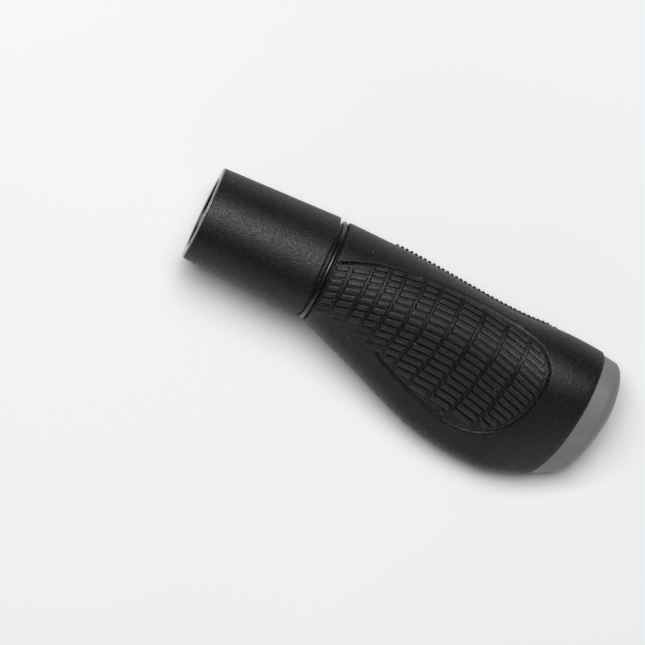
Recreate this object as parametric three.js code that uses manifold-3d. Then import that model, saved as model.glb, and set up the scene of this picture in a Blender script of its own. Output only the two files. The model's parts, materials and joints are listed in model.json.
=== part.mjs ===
// A right-hand bicycle handlebar grip with a palm wing, built from two pieces.
// The core is a hard grey liner tube with a rim at its mouth and a wing-shaped cap at its outer end.
// The soft grip is the black rubber moulded over it: a plain tapered sleeve, a groove with a bead,
// and a winged body with raised bars on its palm pad above and on its finger pad below.
// Millimetres. +X runs along the bore from the mouth to the cap, the wing points to -Y, and +Z is up.
// The origin is on the surface that the grip lies on, below the middle of its length and width.
import * as THREE from "three";
import { mergeVertices } from "three/addons/utils/BufferGeometryUtils.js";
import Module from "manifold-3d";

const wasm = await Module();
wasm.setup();

// Bore and liner
const boreRadius = 11.1;
const linerWall = 1.4;
const mouthRelief = 0.4;
const mouthReliefDepth = 3;
const rimThickness = 0.5;
const rimBevel = 0.35;
const clearance = 0.3;

// Sleeve, groove and bead
const sleeveMouthRadius = 15.15;
const sleeveEndRadius = 16.9;
const sleeveLength = 39.1;
const edgeRound = 0.5;
const grooveDepth = 1.9;
const grooveGap = 1.0;
const beadWidth = 1.7;
const beadDrop = 0.5;
const slotWidth = 0.4;

// Winged body. A list of stations gives a place along the body from its start, and the size there.
const bodyLength = 88.8;
const barRadius = [[0, 16.6], [20, 16.4], [32, 15.7], [44, 14.8], [56, 14.1], [64, 14.1], [75, 14.8],
  [82, 14.7], [89, 14.2], [94, 13.6]];
const wingReach = [[0, 16.6], [10, 20.2], [20, 23.6], [32, 28.1], [44, 32.1], [56, 34.3], [64, 34.7],
  [72, 34.7], [80, 33.3], [89, 30.0], [94, 26.6]];
const wingEdgeRadius = [[0, 16.0], [18, 12.8], [32, 10.4], [44, 9.0], [58, 8.2], [88, 7.6], [94, 7.3]];
const wingDepth = [[0, 16.7], [20, 16.6], [32, 16.9], [42, 17.4], [54, 17.5], [68, 17.5], [78, 17.45],
  [88, 17.1], [94, 16.6]];
const bellyDepth = 16.7;
const crownRadius = 98;
const hollowRadius = 85;
const flankRadius = 45;
const endSweep = 2.1;
const sweepReach = 25.5;
const sweepStart = 66;

// Outer cap
const capInset = 0.7;
const capSide = 4.2;
const capDome = 5.5;
const capWall = 6.5;
const capCentre = { u: 4, z: -1 };

// Palm pad: rows of bars along the grip in bowed columns, inside an engraved line.
// Its places along the grip are measured from the body's start.
const palmOutline = [[1, -3.2], [5.6, -5.4], [12.6, -7.9], [20, -9.4], [27.7, -10.3], [35.7, -10.9],
  [43.8, -11.0], [52.3, -10.4], [60.7, -9.4], [67.8, -7.3], [71.5, -4.3], [73.9, -0.7], [74.7, 4.5],
  [74.3, 9.3], [73.4, 13.7], [70.4, 20.0], [64.8, 24.3], [58.7, 26.0], [51.2, 25.6], [43.9, 24.0],
  [35.8, 21.5], [29.8, 19.2], [25.5, 17.5], [23.8, 16.2]];
const palmFadeEdge = [[-2.2, 14.2], [11.8, 14.6], [16.9, 15.7], [21.7, 17.2]];
const columnEdges = [5, 11.2, 16.3, 21.2, 27.4, 33.2, 40.6, 48.3, 56.6, 64.8, 74.3];
const columnBow = 4;
const columnBowReach = 35;
const firstRow = -10.4;
const rowMiddle = 37.8;
const rowArcRadius = 110;
const rowPitch = 1.96;
const rowSpread = 0.0303;
const rowCount = 20;
const rowSqueeze = 0.7;
const palmBarShare = 0.79;
const palmBarGap = 1.1;
const palmBarHeight = 0.6;
const palmBarDraft = 0.12;
const palmBarShortest = 1.2;
const palmStep = 0.3;
const palmFadeLength = 3.5;
const palmFadeLeast = 0.25;
const palmLineWidth = 1.0;
const palmLineDepth = 0.6;
const palmLineRise = 0.9;

// Finger pad: short bars that run round the underside, and longer-pitched leaning ones behind.
// The sleeve's pad is measured back from the sleeve's end and the body's pad on from the body's start.
// The upper and rear edges are distances round the skin, measured down from the front.
const fingerPitch = 1.6;
const fingerBarShare = 0.78;
const fingerGap = 1.0;
const fingerBarDraft = 0.15;
const rearPitch = 3.6;
const rearBarShare = 0.64;
const rearLean = 2.4;
const sleevePad = {
  from: -25.5,
  to: -1.5,
  rearFrom: -11.9,
  rearTo: -0.1,
  height: 0.6,
  upper: [[-26, 9], [-19, 4.5], [-1, 3]],
  rear: [[-26, 24], [-15, 40], [-1, 47]],
};
const bodyPad = {
  from: 1.5,
  to: 73.5,
  rearFrom: 7,
  rearTo: 28.8,
  height: 0.8,
  upper: [[1, 3], [15, 2], [21, -1.2], [66, -1.2], [74, 5]],
  rear: [[1, 50], [16, 47], [28, 38], [42, 30], [58, 28], [68, 25], [74, 18]],
};

// Facets
const around = 40;
const underCells = 9;
const rearCells = 2;
const plainRows = 3;
const sleeveRows = 10;
const beadSteps = 4;
const domeSteps = 5;
const lineSteps = 48;
const weldDistance = 1e-4;

const bodyStart = sleeveLength + grooveGap + beadWidth + slotWidth;
const bodyEnd = bodyStart + bodyLength;
const capStart = bodyEnd + clearance;
const capShoulder = capStart + capSide;
const capTip = capShoulder + capDome;
const boreEnd = capTip - capWall;

// A smooth value through the stations given
function along(stations, x) {
  const last = stations.length - 1;
  if (x <= stations[0][0]) return stations[0][1];
  if (x >= stations[last][0]) return stations[last][1];
  const i = stations.findIndex((_, k) => x <= stations[k + 1][0]);
  const [[x0, y0], [x1, y1]] = [stations[i], stations[i + 1]];
  const slope = (k) => {
    const [a, b] = [stations[Math.max(k - 1, 0)], stations[Math.min(k + 1, last)]];
    return (b[1] - a[1]) / (b[0] - a[0]);
  };
  const h = x1 - x0;
  const t = (x - x0) / h;
  return y0 + (y1 - y0) * (3 - 2 * t) * t * t
    + slope(i) * h * t * (1 - t) ** 2 - slope(i + 1) * h * t * t * (1 - t);
}

// Sections. In a section u points to the wing and z up. An outline is a list of arcs that follow
// each other from the front over the top to the wing, then back underneath.

// The circle that touches circles a and b: round them both, or outside them both where outside is true
function touching(a, b, radius, outside = false) {
  const [da, db] = [a, b].map(({ r }) => (outside ? radius + r : radius - r));
  const distance = Math.hypot(b.u - a.u, b.z - a.z);
  const forward = (da * da - db * db + distance * distance) / (2 * distance);
  const sideways = Math.sqrt(Math.max(da * da - forward * forward, 0)) * (outside ? -1 : 1);
  const [du, dz] = [(b.u - a.u) / distance, (b.z - a.z) / distance];
  return { u: a.u + du * forward + dz * sideways, z: a.z + dz * forward - du * sideways, r: radius };
}

const angleTo = (from, to) => Math.atan2(to.z - from.z, to.u - from.u);

function arc(circle, from, to, clockwise = true) {
  const turn = (((clockwise ? from - to : to - from) % (2 * Math.PI)) + 2 * Math.PI) % (2 * Math.PI);
  return { ...circle, from, sweep: clockwise ? -turn : turn, length: circle.r * turn };
}

function bodyOutline(x, inset = 0) {
  const at = x - bodyStart;
  const bar = { u: 0, z: 0, r: along(barRadius, at) };
  const belly = { u: 0, z: bar.r - bellyDepth, r: bar.r };
  const r = along(wingEdgeRadius, at);
  const edge = { u: along(wingReach, at) - r, z: r - along(wingDepth, at), r };
  const crown = touching(bar, edge, crownRadius);
  const hollow = touching(edge, belly, hollowRadius, true);
  const flank = touching(belly, bar, flankRadius);
  for (const circle of [bar, belly, edge, crown, flank]) circle.r -= inset;
  hollow.r += inset;
  return [
    arc(bar, angleTo(flank, bar), angleTo(crown, bar)),
    arc(crown, angleTo(crown, bar), angleTo(crown, edge)),
    arc(edge, angleTo(crown, edge), angleTo(edge, hollow)),
    arc(hollow, angleTo(hollow, edge), angleTo(hollow, belly), false),
    arc(belly, angleTo(belly, hollow), angleTo(flank, belly)),
    arc(flank, angleTo(flank, belly), angleTo(flank, bar)),
  ];
}

function circleOutline(r) {
  return [{ u: 0, z: 0, r, from: Math.PI, sweep: -2 * Math.PI, length: 2 * Math.PI * r }];
}

const sleeveRadius = (x) => THREE.MathUtils.mapLinear(x, 0, sleeveLength, sleeveMouthRadius, sleeveEndRadius);
const skinOutline = (x) => (x < bodyStart ? circleOutline(sleeveRadius(x)) : bodyOutline(x));
const lengthOf = (outline) => outline.reduce((sum, { length }) => sum + length, 0);

// The distance round the outline to the wing's outermost line, or half way round the sleeve
function edgeDistance(outline) {
  if (outline.length === 1) return outline[0].length / 2;
  const [bar, crown, edge] = outline;
  return bar.length + crown.length + edge.r * edge.from;
}

// The distance round the outline to the place on top that lies at u
function distanceTo(outline, u) {
  let passed = 0;
  for (const part of outline) {
    const end = part.u + part.r * Math.cos(part.from + part.sweep);
    if (u <= end) return passed + part.r * (part.from - Math.acos((u - part.u) / part.r));
    passed += part.length;
  }
  return edgeDistance(outline);
}

// The point a distance round the outline, raised by lift
function outlinePoint(outline, distance, lift = 0) {
  let rest = THREE.MathUtils.euclideanModulo(distance, lengthOf(outline));
  const part = outline.find(({ length }) => rest <= length || (rest -= length, false)) ?? outline[0];
  const angle = part.from + part.sweep * (rest / part.length);
  const reach = part.r + (part.sweep < 0 ? lift : -lift);
  return { u: part.u + reach * Math.cos(angle), z: part.z + reach * Math.sin(angle) };
}

// The outer end leans back on the wing side, more and more towards the cap
function place(x, { u, z }) {
  const share = THREE.MathUtils.clamp((x - bodyStart - sweepStart) / (bodyLength - sweepStart), 0, 1);
  return new THREE.Vector3(x - share * endSweep * (Math.max(u, 0) / sweepReach) ** 4, -u, z);
}

const skinPoint = (x, distance, lift = 0) => place(x, outlinePoint(skinOutline(x), distance, lift));

// A skin collects points and faces, and closes into a solid
class Skin {
  points = [];
  faces = [];

  add(point) {
    return this.points.push(point) - 1;
  }

  quad(a, b, c, d) {
    this.faces.push([a, b, c], [a, c, d]);
  }

  // A ring of points evenly spaced round an outline, with each point's share of the way round
  ring(x, outline, reshape = (p) => p) {
    const length = lengthOf(outline);
    return Array.from({ length: around }, (_, i) => {
      const at = i / around;
      return { at, index: this.add(place(x, reshape(outlinePoint(outline, at * length)))) };
    });
  }

  // Faces between two rings, which may have different numbers of points
  join(first, second) {
    const at = (ring, i) => ring[i % ring.length].at + Math.floor(i / ring.length);
    const index = (ring, i) => ring[i % ring.length].index;
    let [i, j] = [0, 0];
    while (i < first.length || j < second.length) {
      const [a, b] = [index(first, i), index(second, j)];
      if (j >= second.length || (i < first.length && at(first, i + 1) <= at(second, j + 1))) {
        this.faces.push([a, index(first, i + 1), b]);
        i += 1;
      } else {
        this.faces.push([a, index(second, j + 1), b]);
        j += 1;
      }
    }
  }

  joinAll(rings) {
    for (let i = 0; i + 1 < rings.length; i++) this.join(rings[i], rings[i + 1]);
  }

  close(ring, point, atStart) {
    const centre = this.add(point);
    ring.forEach(({ index }, i) => {
      const next = ring[(i + 1) % ring.length].index;
      this.faces.push(atStart ? [centre, next, index] : [centre, index, next]);
    });
  }

  // Faces between two lines of points along the bore, the upper one nearer the start of the outline
  stitch(upper, lower) {
    let [i, j] = [0, 0];
    while (i + 1 < upper.length || j + 1 < lower.length) {
      const stepUpper = j + 1 >= lower.length || (i + 1 < upper.length && upper[i + 1].x <= lower[j + 1].x);
      const next = stepUpper ? upper[i + 1] : lower[j + 1];
      this.faces.push([upper[i].index, lower[j].index, next.index]);
      if (stepUpper) i += 1;
      else j += 1;
    }
  }

  // One cell of a sheet, plain or with a raised bar: the bar spans [x0, x1] and [d0, d1]
  cell(corners, bar) {
    if (!bar) {
      this.quad(...corners);
      return;
    }
    const { x0, x1, d0, d1, height, draft } = bar;
    const loop = (lift, inset) => [
      this.add(skinPoint(x0[0] + inset, d0[0] + inset, lift)),
      this.add(skinPoint(x0[1] + inset, d1[0] - inset, lift)),
      this.add(skinPoint(x1[1] - inset, d1[1] - inset, lift)),
      this.add(skinPoint(x1[0] - inset, d0[1] + inset, lift)),
    ];
    const foot = loop(0, 0);
    const top = loop(height, draft);
    for (let i = 0; i < 4; i++) {
      const j = (i + 1) % 4;
      this.quad(corners[i], corners[j], foot[j], foot[i]);
      this.quad(foot[i], foot[j], top[j], top[i]);
    }
    this.quad(...top);
  }

  geometry() {
    const geometry = new THREE.BufferGeometry();
    const positions = this.points.flatMap((point) => point.toArray());
    geometry.setAttribute("position", new THREE.Float32BufferAttribute(positions, 3));
    geometry.setIndex(this.faces.flat());
    return mergeVertices(geometry, weldDistance);
  }
}

// A sheet of cells: lines along the bore at every x, each line a distance round the skin.
// lineX and lineD give a node's place, and barIn gives the bar in a cell or nothing.
function sheet(skin, columns, rows, lineX, lineD, barIn) {
  const node = (column, row) => {
    const x = lineX(column, row);
    const distance = lineD(x, row);
    return { x, at: distance / lengthOf(skinOutline(x)), index: skin.add(skinPoint(x, distance)) };
  };
  const nodes = [];
  for (let row = 0; row <= rows; row++) {
    nodes.push(Array.from({ length: columns + 1 }, (_, column) => node(column, row)));
  }
  for (let row = 0; row < rows; row++) {
    for (let column = 0; column < columns; column++) {
      const [upper, lower] = [nodes[row], nodes[row + 1]];
      const corners = [upper[column], lower[column], lower[column + 1], upper[column + 1]];
      skin.cell(corners.map(({ index }) => index), barIn(column, row));
    }
  }
  return nodes;
}

// The underside between the wing's edge, or the sleeve's rear, and the front
const underLine = (x, row) => {
  const outline = skinOutline(x);
  return THREE.MathUtils.lerp(edgeDistance(outline), lengthOf(outline), row / underCells);
};

// A bar in the middle of the four lines round it, as wide as the share of its pitch
function fingerBar(pad, origin, lineX, column, row, share) {
  const middle = (line) => (lineX(column, line) + lineX(column + 1, line)) / 2;
  const at = middle(row) - origin;
  const length = lengthOf(skinOutline(middle(row)));
  const [upper, lower] = [underLine(middle(row), row), underLine(middle(row + 1), row + 1)];
  const d0 = Math.max(upper + fingerGap / 2, length - along(pad.rear, at));
  const d1 = Math.min(lower - fingerGap / 2, length - along(pad.upper, at));
  if (d1 - d0 < fingerPitch) return null;
  const half = ((lineX(column + 1, row) - lineX(column, row)) * share) / 2;
  const lean = (distance) => (middle(row + 1) - middle(row)) * ((distance - upper) / (lower - upper));
  const [x0, x1] = [-half, half].map((side) => [d0, d1].map((d) => middle(row) + lean(d) + side));
  return { x0, x1, d0: [d0, d0], d1: [d1, d1], height: pad.height, draft: fingerBarDraft };
}

// Short leaning bars behind, towards the wing, then bars of the pad's pitch round to the front
function underSheets(skin, start, end, pad, origin) {
  const [from, to, rearFrom, rearTo] = [pad.from, pad.to, pad.rearFrom, pad.rearTo].map((x) => origin + x);
  const rearCount = Math.round((end - rearFrom) / rearPitch);
  const rearInner = Array.from({ length: rearCount }, (_, i) => rearFrom + i * rearPitch);
  const rearLines = [start, ...rearInner, end];
  const leans = (column) => column > 0 && column <= rearCount;
  const rearX = (column, row) => rearLines[column] - (leans(column) ? rearLean * row : 0);
  const rear = sheet(skin, rearCount + 1, rearCells, rearX, underLine, (column, row) => {
    const inPad = column > 0 && rearLines[column + 1] < rearTo;
    return inPad ? fingerBar(pad, origin, rearX, column, row, rearBarShare) : null;
  });
  const barCount = Math.round((to - from) / fingerPitch);
  const padLines = Array.from({ length: barCount + 1 }, (_, i) => from + i * fingerPitch);
  const before = start + fingerPitch < from ? [start, (start + from) / 2] : [start];
  const after = end - to > 2 * fingerPitch ? [(to * 2 + end) / 3, (to + end * 2) / 3, end] : [end];
  const lines = [...before, ...padLines, ...after];
  const rowAt = (line) => line + rearCells;
  const lineX = (column) => lines[column];
  const lineD = (x, line) => underLine(x, rowAt(line));
  const front = sheet(skin, lines.length - 1, underCells - rearCells, lineX, lineD, (column, line) => {
    const inPad = column >= before.length && column < before.length + barCount;
    return inPad ? fingerBar(pad, origin, lineX, column, rowAt(line), fingerBarShare) : null;
  });
  return [rear, front];
}

// Palm pad
const onBody = (points) => points.map(([x, u]) => [bodyStart + x, u]);
const palmCurve = new THREE.SplineCurve(onBody(palmOutline).map(([x, u]) => new THREE.Vector2(x, u)));
const palmLine = palmCurve.getPoints(lineSteps);
const palmCusp = palmLine.at(-1).x;
const fadeEdge = onBody(palmFadeEdge);
const palmCorner = [fadeEdge[0][0], palmLine[0].y];
const palmArea = [...palmLine.map(({ x, y }) => [x, y]), ...[...fadeEdge].reverse(), palmCorner];

function inPalm(x, u) {
  let odd = false;
  palmArea.forEach(([ax, au], i) => {
    const [bx, bu] = palmArea.at(i - 1);
    if (au > u !== bu > u && x < ax + ((bx - ax) * (u - au)) / (bu - au)) odd = !odd;
  });
  return odd;
}

const palmColumns = [edgeRound, ...columnEdges].map((x) => bodyStart + x);
const rowOffset = (row) => rowPitch * row + rowSpread * row * row;

// The distance round the skin to a row's line: the rows spread over the pad, then squeeze up to the edge
function rowDistance(x, row) {
  const outline = skinOutline(x);
  const first = distanceTo(outline, firstRow + (x - bodyStart - rowMiddle) ** 2 / (2 * rowArcRadius));
  if (row < 0) return first * (1 + row / plainRows);
  const room = edgeDistance(outline) - first;
  const spare = rowPitch - rowSqueeze;
  const root = Math.sqrt(spare * spare + 4 * rowSpread * (room - rowCount * rowSqueeze));
  const fullRows = Math.min((root - spare) / (2 * rowSpread), rowCount);
  return first + rowOffset(Math.min(row, fullRows)) + Math.max(row - fullRows, 0) * rowSqueeze;
}

// A column's edge bows towards the mouth on its way to the wing, and is straight at both ends of the body
function columnX(edge, row) {
  const start = THREE.MathUtils.smoothstep(edge, bodyStart, palmColumns[3]);
  const end = 1 - THREE.MathUtils.smoothstep(edge, palmColumns.at(-2), bodyEnd);
  const down = rowOffset(Math.max(row, 0));
  return edge - columnBow * start * end * Math.min(down / columnBowReach, 1) ** 2;
}

// A palm bar fills its cell but for the grooves round it, as far as it stays inside the pad
function palmBar(column, row) {
  if (row < 0 || column + 1 >= palmColumns.length) return null;
  const left = columnX(palmColumns[column], row + 0.5) + (column ? palmBarGap / 2 : palmBarDraft);
  const right = columnX(palmColumns[column + 1], row + 0.5) - palmBarGap / 2;
  const edgesAt = (x) => {
    const [upper, lower] = [rowDistance(x, row), rowDistance(x, row + 1)];
    const margin = ((lower - upper) * (1 - palmBarShare)) / 2;
    return [upper + margin, lower - margin];
  };
  const clear = (x) => edgesAt(x).every((distance) => {
    const { u } = outlinePoint(skinOutline(x), distance);
    return [-palmLineWidth, palmLineWidth].every((side) => inPalm(x, u + side / 2) && inPalm(x + side, u));
  });
  const places = [];
  for (let x = left; x <= right; x += palmStep) if (clear(x)) places.push(x);
  const [x0, x1] = [places[0], places.at(-1)];
  if (!(x1 - x0 >= palmBarShortest)) return null;
  const edges = [edgesAt(x0), edgesAt(x1)];
  const { u } = outlinePoint(skinOutline(x0), edges[0][1]);
  const faded = THREE.MathUtils.clamp((along(fadeEdge, x0) - u) / palmFadeLength, palmFadeLeast, 1);
  return {
    x0: [x0, x0],
    x1: [x1, x1],
    d0: [edges[0][0], edges[1][0]],
    d1: [edges[0][1], edges[1][1]],
    height: palmBarHeight * (x0 < palmCusp ? faded : 1),
    draft: palmBarDraft,
  };
}

// The top of the body, with its palm pad
function topSheet(skin, start, end) {
  const tail = (end - palmColumns.at(-1)) / 3;
  const lines = [...palmColumns, end - 2 * tail, end - tail, end];
  const rows = plainRows + rowCount - 2;
  const rowAt = (line) => line + 1 - plainRows;
  const lineX = (column, line) => columnX(lines[column], rowAt(line));
  const lineD = (x, line) => rowDistance(x, rowAt(line));
  return sheet(skin, lines.length - 1, rows, lineX, lineD, (column, line) => palmBar(column, rowAt(line)));
}

// The top of the sleeve, which is plain
function plainSheet(skin, start, end) {
  const lines = [start, (start + end) / 2, end];
  const lineD = (x, line) => (edgeDistance(skinOutline(x)) * (line + 1)) / sleeveRows;
  return sheet(skin, 2, sleeveRows - 2, (column) => lines[column], lineD, () => null);
}

// Joins sheets that follow each other round the skin into one tube, and returns its two end rings
function tube(skin, sheets) {
  sheets.forEach((lines, i) => skin.stitch(lines.at(-1), sheets[(i + 1) % sheets.length][0]));
  const lines = sheets.flat();
  return [0, -1].map((end) => {
    const front = { ...lines.at(-1).at(end), at: 0 };
    return [front, ...lines.slice(0, -1).map((line) => line.at(end))];
  });
}

// Grey core: bore, mouth, rim, liner tube and outer cap in one piece
function coreGeometry() {
  const skin = new Skin();
  const liner = boreRadius + linerWall;
  const mouth = boreRadius + mouthRelief;
  const circles = [
    [boreEnd, boreRadius],
    [mouthReliefDepth, boreRadius],
    [mouthReliefDepth, mouth],
    [0, mouth],
    [0, sleeveMouthRadius - rimBevel],
    [rimThickness / 2, sleeveMouthRadius],
    [rimThickness, sleeveMouthRadius],
    [rimThickness, liner],
    [capStart, liner],
  ];
  const rings = circles.map(([x, r]) => skin.ring(x, circleOutline(r)));
  for (const x of [capStart, capStart + capSide / 2]) rings.push(skin.ring(x, bodyOutline(x, capInset)));
  for (let i = 0; i < domeSteps; i++) {
    const angle = (i / domeSteps) * (Math.PI / 2);
    const drawnIn = ({ u, z }) => ({
      u: THREE.MathUtils.lerp(capCentre.u, u, Math.cos(angle)),
      z: THREE.MathUtils.lerp(capCentre.z, z, Math.cos(angle)),
    });
    rings.push(skin.ring(capShoulder + capDome * Math.sin(angle), bodyOutline(capShoulder, capInset), drawnIn));
  }
  skin.joinAll(rings);
  skin.close(rings[0], new THREE.Vector3(boreEnd, 0, 0), true);
  skin.close(rings.at(-1), place(capTip, capCentre), false);
  return skin.geometry();
}

// Rubber before its engraved line: hole, sleeve, groove with bead, winged body
function rubberSkin() {
  const skin = new Skin();
  const hole = circleOutline(boreRadius + linerWall + clearance);
  const floor = circleOutline(sleeveEndRadius - grooveDepth);
  const sleeveStart = rimThickness + clearance;
  const beadStart = sleeveLength + grooveGap;
  const beadEnd = beadStart + beadWidth;
  const [mouthRing, sleeveRing] = tube(
    skin,
    [
      plainSheet(skin, sleeveStart, sleeveLength - edgeRound),
      ...underSheets(skin, sleeveStart, sleeveLength - edgeRound, sleevePad, sleeveLength),
    ],
  );
  const bead = Array.from({ length: beadSteps + 1 }, (_, i) => {
    const angle = (i / beadSteps) * Math.PI;
    const x = beadStart + (beadWidth * (1 - Math.cos(angle))) / 2;
    return skin.ring(x, circleOutline(sleeveEndRadius - beadDrop - (beadWidth / 2) * (1 - Math.sin(angle))));
  });
  const [bodyRing, endRing] = tube(
    skin,
    [
      topSheet(skin, bodyStart + edgeRound, bodyEnd - edgeRound),
      ...underSheets(skin, bodyStart + edgeRound, bodyEnd - edgeRound, bodyPad, bodyStart),
    ],
  );
  const holeRings = [bodyEnd, sleeveStart].map((x) => skin.ring(x, hole));
  skin.join(holeRings[1], mouthRing);
  skin.joinAll([
    sleeveRing,
    skin.ring(sleeveLength, circleOutline(sleeveEndRadius - edgeRound)),
    skin.ring(sleeveLength, floor),
    skin.ring(beadStart, floor),
    ...bead,
    skin.ring(beadEnd, floor),
    skin.ring(bodyStart, floor),
    skin.ring(bodyStart, bodyOutline(bodyStart, edgeRound)),
    bodyRing,
  ]);
  skin.joinAll([endRing, skin.ring(bodyEnd, bodyOutline(bodyEnd, edgeRound)), ...holeRings]);
  return skin;
}

function solidFrom(geometry) {
  const vertProperties = new Float32Array(geometry.getAttribute("position").array);
  const triVerts = new Uint32Array(geometry.index.array);
  return new wasm.Manifold(new wasm.Mesh({ numProp: 3, vertProperties, triVerts }));
}

// The tool that engraves the palm pad's line: a strip with a V section that follows the outline
function palmLineTool() {
  const skin = new Skin();
  const reach = (palmLineWidth / 2) * (1 + palmLineRise / palmLineDepth);
  const sections = palmLine.map(({ x, y: u }, i) => {
    const before = palmLine[Math.max(i - 1, 0)];
    const after = palmLine[Math.min(i + 1, lineSteps)];
    const across = new THREE.Vector2(before.y - after.y, after.x - before.x).setLength(reach);
    const at = (side, lift) => {
      const px = x + side * across.x;
      const distance = distanceTo(skinOutline(px), u + side * across.y);
      return skin.add(skinPoint(px, distance, lift));
    };
    return [at(-1, palmLineRise), at(0, -palmLineDepth), at(1, palmLineRise)];
  });
  for (let i = 0; i < lineSteps; i++) {
    for (let j = 0; j < 3; j++) {
      const k = (j + 1) % 3;
      skin.quad(sections[i][k], sections[i][j], sections[i + 1][j], sections[i + 1][k]);
    }
  }
  skin.faces.push(sections[0], [...sections[lineSteps]].reverse());
  return solidFrom(skin.geometry());
}

function rubberGeometry() {
  const rubber = solidFrom(rubberSkin().geometry()).subtract(palmLineTool());
  const mesh = rubber.getMesh();
  const geometry = new THREE.BufferGeometry();
  geometry.setAttribute("position", new THREE.BufferAttribute(mesh.vertProperties, 3));
  geometry.setIndex(new THREE.BufferAttribute(mesh.triVerts, 1));
  return geometry;
}

const grey = new THREE.MeshStandardMaterial({ color: 0x76767a, roughness: 0.5, metalness: 0 });
const black = new THREE.MeshStandardMaterial({ color: 0x1d1d20, roughness: 0.75, metalness: 0 });

const core = new THREE.Mesh(coreGeometry(), grey);
core.name = "core";
const rubber = new THREE.Mesh(rubberGeometry(), black);
rubber.name = "rubber_grip";

const grip = new THREE.Group();
grip.add(core, rubber);
const box = new THREE.Box3().setFromObject(grip);
const centre = box.getCenter(new THREE.Vector3());
grip.position.set(-centre.x, -centre.y, -box.min.z);

export default grip;
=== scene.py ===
"""A right-hand handlebar grip with a palm wing, lying on a pale table under soft studio light.

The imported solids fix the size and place. The two pieces here stand for them with fine meshes:
rubber_overmould has the bars, the engraved line and the bead, and liner_core the bore and the cap.
The palm bars, the line and the rubber's edge at the rim are a little finer than in the solids.
Lengths are in millimetres, and places along the bore count from its mouth unless a heading says
otherwise. MM turns them into the frame's metres. u runs from the bore's axis towards the wing.
The sizes and distances of the camera, the lights and the floor are in metres, and angles in degrees.
"""

import json
import math

import bpy
import numpy as np
from mathutils import Matrix, Vector


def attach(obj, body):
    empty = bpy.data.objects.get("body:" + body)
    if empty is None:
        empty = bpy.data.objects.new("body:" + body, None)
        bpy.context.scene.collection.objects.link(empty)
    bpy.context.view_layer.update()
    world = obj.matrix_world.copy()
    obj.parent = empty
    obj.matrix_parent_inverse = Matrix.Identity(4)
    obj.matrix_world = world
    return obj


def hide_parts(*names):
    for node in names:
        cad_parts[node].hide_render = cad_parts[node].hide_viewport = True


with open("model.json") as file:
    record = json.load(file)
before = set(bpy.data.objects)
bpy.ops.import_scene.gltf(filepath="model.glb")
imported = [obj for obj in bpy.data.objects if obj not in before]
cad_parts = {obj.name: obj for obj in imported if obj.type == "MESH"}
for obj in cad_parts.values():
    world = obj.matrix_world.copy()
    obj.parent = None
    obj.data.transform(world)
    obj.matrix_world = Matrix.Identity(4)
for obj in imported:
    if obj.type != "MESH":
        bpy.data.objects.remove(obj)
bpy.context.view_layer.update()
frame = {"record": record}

MM = 0.001

# Where the bore is: the mouth's mount lies straight above the bore's axis
MOUNT_HEIGHT = 13.15
mouth_point = Vector(frame["record"]["mounts"][0]["pos_m"])
BORE_MOUTH = mouth_point - Vector((0, 0, MOUNT_HEIGHT * MM))

# Bore and liner, and how far the rubber stands off them
BORE_RADIUS = 11.1
LINER_WALL = 1.4
MOUTH_RELIEF = 0.4
MOUTH_RELIEF_DEPTH = 3.0
MOUTH_CHAMFER = 0.2
RIM_THICKNESS = 0.5
RIM_BEVEL = 0.35
RIM_BEVEL_DEPTH = 0.8 * RIM_BEVEL
CLEARANCE = 0.3
RIM_GAP = 0.05

# Small cuts at the core's corners
CORNER_CUT = 0.05
RIM_CUT = 0.04
FINE_CUT = 0.02
BORE_END_CUT = 0.01
CHAMFER_KNEE = 0.7

# Sleeve, groove and bead
SLEEVE_MOUTH_RADIUS = 15.15
SLEEVE_END_RADIUS = 16.9
SLEEVE_LENGTH = 39.1
SLEEVE_RIM_ROUND = 0.25
EDGE_ROUND = 0.5
GROOVE_DEPTH = 1.9
GROOVE_GAP = 1.0
BEAD_WIDTH = 1.7
BEAD_DROP = 0.5
SLOT_WIDTH = 0.4
BEAD_START = SLEEVE_LENGTH + GROOVE_GAP
SLEEVE_FIRST = RIM_THICKNESS + RIM_GAP
SLEEVE_LAST = SLEEVE_LENGTH - EDGE_ROUND

# Winged body. Stations give a place along the body from its start, and the size there.
BODY_LENGTH = 88.8
BAR_RADIUS = [(0, 16.6), (20, 16.4), (32, 15.7), (44, 14.8), (56, 14.1), (64, 14.1), (75, 14.8),
              (82, 14.7), (89, 14.2), (94, 13.6)]
WING_REACH = [(0, 16.6), (10, 20.2), (20, 23.6), (32, 28.1), (44, 32.1), (56, 34.3), (64, 34.7),
              (72, 34.7), (80, 33.3), (89, 30.0), (94, 26.6)]
WING_EDGE_RADIUS = [(0, 16.0), (18, 12.8), (32, 10.4), (44, 9.0), (58, 8.2), (88, 7.6), (94, 7.3)]
WING_DEPTH = [(0, 16.7), (20, 16.6), (32, 16.9), (42, 17.4), (54, 17.5), (68, 17.5), (78, 17.45),
              (88, 17.1), (94, 16.6)]
BELLY_DEPTH = 16.7
CROWN_RADIUS = 98
HOLLOW_RADIUS = 85
FLANK_RADIUS = 45
END_SWEEP = 2.1
SWEEP_REACH = 25.5
SWEEP_START = 66
BODY_START = BEAD_START + BEAD_WIDTH + SLOT_WIDTH
BODY_END = BODY_START + BODY_LENGTH
BODY_FIRST = BODY_START + EDGE_ROUND
BODY_LAST = BODY_END - EDGE_ROUND

# Outer cap
CAP_INSET = 0.7
CAP_SIDE = 4.2
CAP_DOME = 5.5
CAP_WALL = 6.5
CAP_CENTRE = (4.0, -1.0)
CAP_START = BODY_END + CLEARANCE
CAP_SHOULDER = CAP_START + CAP_SIDE
CAP_TIP = CAP_SHOULDER + CAP_DOME
BORE_END = CAP_TIP - CAP_WALL

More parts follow.
